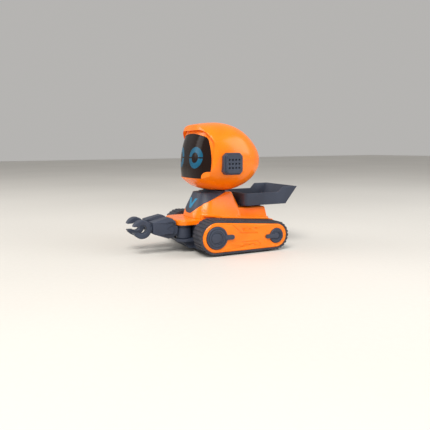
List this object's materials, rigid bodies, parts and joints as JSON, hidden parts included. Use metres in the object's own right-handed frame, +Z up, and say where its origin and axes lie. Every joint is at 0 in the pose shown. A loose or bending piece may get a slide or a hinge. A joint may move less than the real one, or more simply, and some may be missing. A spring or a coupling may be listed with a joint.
{
  "type": "line follower robot",
  "caption": "Small tracked toy robot with an egg-shaped head and dark visor, two forward arms with open-ring claws, a chest panel and a tipping tray at the back; it follows a line on the floor.",
  "frame": {"origin": "on the ground, under the middle of the overall length and width", "axes": "+Z up, the robot faces -Y, its left side is +X"},
  "size_m": [0.081, 0.1318, 0.0968],
  "materials": {
    "orange_plastic": "glossy moulded ABS, orange",
    "slate_plastic": "satin moulded ABS, dark blue-grey",
    "tread_rubber": "matt moulded rubber-like tread",
    "visor_black": "polished smoked acrylic, black",
    "eye_blue": "glossy light-blue acrylic",
    "board_green": "solder-masked circuit board",
    "steel": "plain steel",
    "white_plastic": "natural white nylon",
    "cell_wrap": "shrink-wrapped cell, blue",
    "black_plastic": "matt black plastic"
  },
  "bodies": {
    "chassis": {"battery_cell": "cell_wrap", "battery_door": "slate_plastic", "body_shell": "orange_plastic", "caster_cup": "white_plastic", "charge_socket": "steel", "chassis_screws": "steel", "chassis_tub": "slate_plastic", "chest_emblem": "eye_blue", "chest_panel": "slate_plastic", "drive_motor_left": "steel", "drive_motor_right": "steel", "front_hub_left": "slate_plastic", "front_hub_right": "slate_plastic", "line_sensors": "black_plastic", "main_board": "board_green", "neck_post": "slate_plastic", "neck_ring": "slate_plastic", "nose_plate": "orange_plastic", "rear_hub_left": "slate_plastic", "rear_hub_right": "slate_plastic", "sensor_board": "board_green", "side_plate_left": "orange_plastic", "side_plate_right": "orange_plastic", "switch_body": "steel", "track_tread_left": "tread_rubber", "track_tread_right": "tread_rubber", "tray_hinge_pin": "steel", "wheel_axle": "steel"},
    "head": {"head_lower_shell": "orange_plastic", "head_upper_shell": "orange_plastic", "head_screws": "steel", "face_bezel": "orange_plastic", "eye_ring_left": "eye_blue", "eye_ring_right": "eye_blue", "visor": "visor_black", "eye_board": "board_green", "speaker": "black_plastic", "ear_base_left": "slate_plastic", "ear_base_right": "slate_plastic", "ear_grille_left": "slate_plastic", "ear_grille_right": "slate_plastic"},
    "arm_left": {"shoulder_drum_left": "slate_plastic", "forearm_left": "slate_plastic"},
    "arm_right": {"shoulder_drum_right": "slate_plastic", "forearm_right": "slate_plastic"},
    "hand_left": {"claw_left": "slate_plastic"},
    "hand_right": {"claw_right": "slate_plastic"},
    "tray": {"tray": "slate_plastic"},
    "wheel_left": {"drive_wheel_left": "white_plastic", "tyre_left": "tread_rubber"},
    "wheel_right": {"drive_wheel_right": "white_plastic", "tyre_right": "tread_rubber"},
    "pinion_left": {"motor_pinion_left": "white_plastic"},
    "pinion_right": {"motor_pinion_right": "white_plastic"},
    "caster": {"caster_ball": "steel"},
    "switch": {"switch_knob": "black_plastic"}
  },
  "joints": [
    {"name": "head_turn", "type": "hinge", "parent": "chassis", "child": "head", "pos_m": [0, 0.0015, 0.05], "axis": [0, 0, 1], "range_deg": [-40, 40]},
    {"name": "arm_swing_left", "type": "hinge", "parent": "chassis", "child": "arm_left", "pos_m": [0.0088, -0.0265, 0.0158], "axis": [0, 0, 1], "range_deg": [0, 35]},
    {"name": "arm_swing_right", "type": "hinge", "parent": "chassis", "child": "arm_right", "pos_m": [-0.0088, -0.0265, 0.0158], "axis": [0, 0, -1], "range_deg": [0, 35]},
    {"name": "claw_turn_left", "type": "hinge", "parent": "arm_left", "child": "hand_left", "pos_m": [0.0088, -0.0521, 0.0194], "axis": [0, 1, 0], "range_deg": [-90, 90]},
    {"name": "claw_turn_right", "type": "hinge", "parent": "arm_right", "child": "hand_right", "pos_m": [-0.0088, -0.0521, 0.0194], "axis": [0, 1, 0], "range_deg": [-90, 90]},
    {"name": "tray_tip", "type": "hinge", "parent": "chassis", "child": "tray", "pos_m": [0, 0.0375, 0.03], "axis": [-1, 0, 0], "range_deg": [0, 30]},
    {"name": "wheel_spin_left", "type": "hinge", "parent": "chassis", "child": "wheel_left", "pos_m": [0, 0.028, 0.009], "axis": [1, 0, 0], "continuous": true},
    {"name": "wheel_spin_right", "type": "hinge", "parent": "chassis", "child": "wheel_right", "pos_m": [0, 0.028, 0.009], "axis": [1, 0, 0], "continuous": true},
    {"name": "pinion_spin_left", "type": "hinge", "parent": "chassis", "child": "pinion_left", "pos_m": [0, 0.0199, 0.009], "axis": [1, 0, 0], "continuous": true},
    {"name": "pinion_spin_right", "type": "hinge", "parent": "chassis", "child": "pinion_right", "pos_m": [0, 0.0361, 0.009], "axis": [1, 0, 0], "continuous": true},
    {"name": "caster_roll", "type": "hinge", "parent": "chassis", "child": "caster", "pos_m": [0, -0.0094, 0.0035], "axis": [1, 0, 0], "continuous": true},
    {"name": "switch_slide", "type": "slide", "parent": "chassis", "child": "switch", "axis": [1, 0, 0], "range_m": [0, 0.002]}
  ],
  "couplings": [
    {"joint": "pinion_spin_left", "follows": "wheel_spin_left", "ratio": -2},
    {"joint": "pinion_spin_right", "follows": "wheel_spin_right", "ratio": -2}
  ]
}
